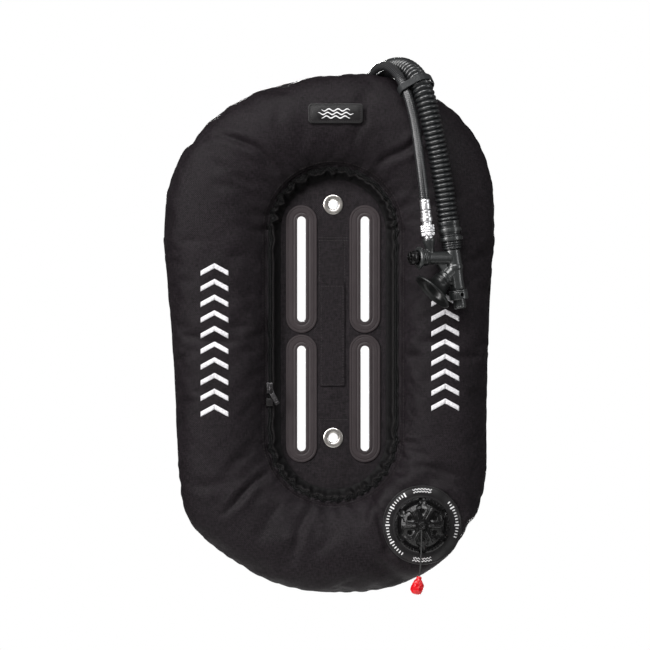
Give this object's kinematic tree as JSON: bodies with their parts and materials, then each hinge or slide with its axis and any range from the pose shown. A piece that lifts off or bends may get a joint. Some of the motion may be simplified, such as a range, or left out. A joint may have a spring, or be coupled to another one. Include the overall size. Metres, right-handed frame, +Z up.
{
  "type": "buoyancy wing",
  "caption": "Ring-shaped diving buoyancy wing with a slotted centre panel, dump valve, corrugated hose and power inflator.",
  "frame": {"origin": "midway between the two grommets, on the front face of the centre patch, where the backplate bears", "axes": "+Z up towards the diver's head, -Y towards the diver's back, +X to the right when looking at the diver's side"},
  "size_m": [0.3962, 0.1773, 0.6411],
  "materials": {
    "shell_fabric": "coarse woven nylon, near black",
    "bladder_film": "welded film",
    "patch_vinyl": "fine-grained vinyl",
    "printed_patch": "matte, with pale ticks",
    "zip_tape": "woven tape",
    "black_plastic": "satin moulded",
    "gloss_black": "glossy moulded",
    "black_rubber": "satin",
    "hose_braid": "tight polyester braid with a sheen",
    "steel": "bright plated",
    "nickel": "plated brass",
    "red_plastic": "glossy moulded"
  },
  "bodies": {
    "wing": {"bladder": "bladder_film", "cable_tie_lower": "black_plastic", "cable_tie_upper": "black_plastic", "centre_panel": "shell_fabric", "centre_patch_back": "patch_vinyl", "centre_patch_front": "patch_vinyl", "corrugated_hose": "black_rubber", "coupling_body": "steel", "deflate_cap": "black_plastic", "deflate_spring": "steel", "elbow_body": "black_plastic", "elbow_cuff": "black_rubber", "elbow_flange": "black_plastic", "elbow_gasket": "black_rubber", "elbow_nut": "black_plastic", "elbow_tie": "black_plastic", "first_stage_fitting": "steel", "grommet_lower": "nickel", "grommet_upper": "nickel", "grommet_washer_lower": "nickel", "grommet_washer_upper": "nickel", "gusset": "zip_tape", "hose_band": "black_rubber", "hose_cuff": "black_rubber", "inflate_retainer": "black_plastic", "inflate_spring": "steel", "inflator_body": "black_plastic", "label_patch": "patch_vinyl", "lp_ferrule": "steel", "lp_ferrule_rear": "steel", "lp_hose": "hose_braid", "lp_nipple": "steel", "mouthpiece": "black_rubber", "shell_back": "shell_fabric", "shell_front": "shell_fabric", "slot_patch_back_lower_left": "patch_vinyl", "slot_patch_back_lower_right": "patch_vinyl", "slot_patch_back_upper_left": "patch_vinyl", "slot_patch_back_upper_right": "patch_vinyl", "slot_patch_front_lower_left": "patch_vinyl", "slot_patch_front_lower_right": "patch_vinyl", "slot_patch_front_upper_left": "patch_vinyl", "slot_patch_front_upper_right": "patch_vinyl", "valve_base": "black_plastic", "valve_cap": "gloss_black", "valve_gasket": "black_rubber", "valve_patch": "printed_patch", "valve_spring": "steel", "zipper_chain": "zip_tape", "zipper_garage": "patch_vinyl", "zipper_tape": "zip_tape"},
    "inflate_button": {"inflate_button": "black_plastic"},
    "deflate_button": {"deflate_button": "black_plastic"},
    "coupling_sleeve": {"coupling_sleeve": "steel"},
    "dump_poppet": {"valve_poppet": "black_plastic"},
    "dump_pull": {"pull_cord": "hose_braid", "pull_knob": "red_plastic"},
    "zip_slider": {"zipper_slider": "nickel"},
    "zip_pull": {"zipper_pull": "nickel"}
  },
  "joints": [
    {"name": "inflate_press", "type": "slide", "parent": "wing", "child": "inflate_button", "axis": [0.9063, 0.4226, 0], "range_m": [0, 0.004], "stiffness_N_per_m": 1500, "springref_m": -0.003, "deforming": ["inflate_spring"]},
    {"name": "deflate_press", "type": "slide", "parent": "wing", "child": "deflate_button", "axis": [-0.139, 0, 0.9903], "range_m": [0, 0.0045], "stiffness_N_per_m": 1200, "springref_m": -0.003, "deforming": ["deflate_spring"]},
    {"name": "coupling_release", "type": "slide", "parent": "wing", "child": "coupling_sleeve", "axis": [-0.1, 0.01, 0.9949], "range_m": [0, 0.0035], "stiffness_N_per_m": 1500, "springref_m": -0.003},
    {"name": "dump_open", "type": "slide", "parent": "wing", "child": "dump_poppet", "axis": [0, -1, 0], "range_m": [0, 0.004], "stiffness_N_per_m": 900, "springref_m": -0.004, "deforming": ["valve_spring"]},
    {"name": "dump_pull_down", "type": "slide", "parent": "wing", "child": "dump_pull", "axis": [0, 0, -1], "range_m": [0, 0.006]},
    {"name": "zip_travel", "type": "slide", "parent": "wing", "child": "zip_slider", "axis": [0, 0, 1], "range_m": [0, 0.17]},
    {"name": "zip_pull_swing", "type": "hinge", "parent": "zip_slider", "child": "zip_pull", "pos_m": [-0.076, -0.0185, -0.081], "axis": [-0.8827, 0, -0.4699], "range_deg": [0, 120]}
  ],
  "couplings": [
    {"joint": "dump_pull_down", "follows": "dump_open", "ratio": 1.5}
  ]
}
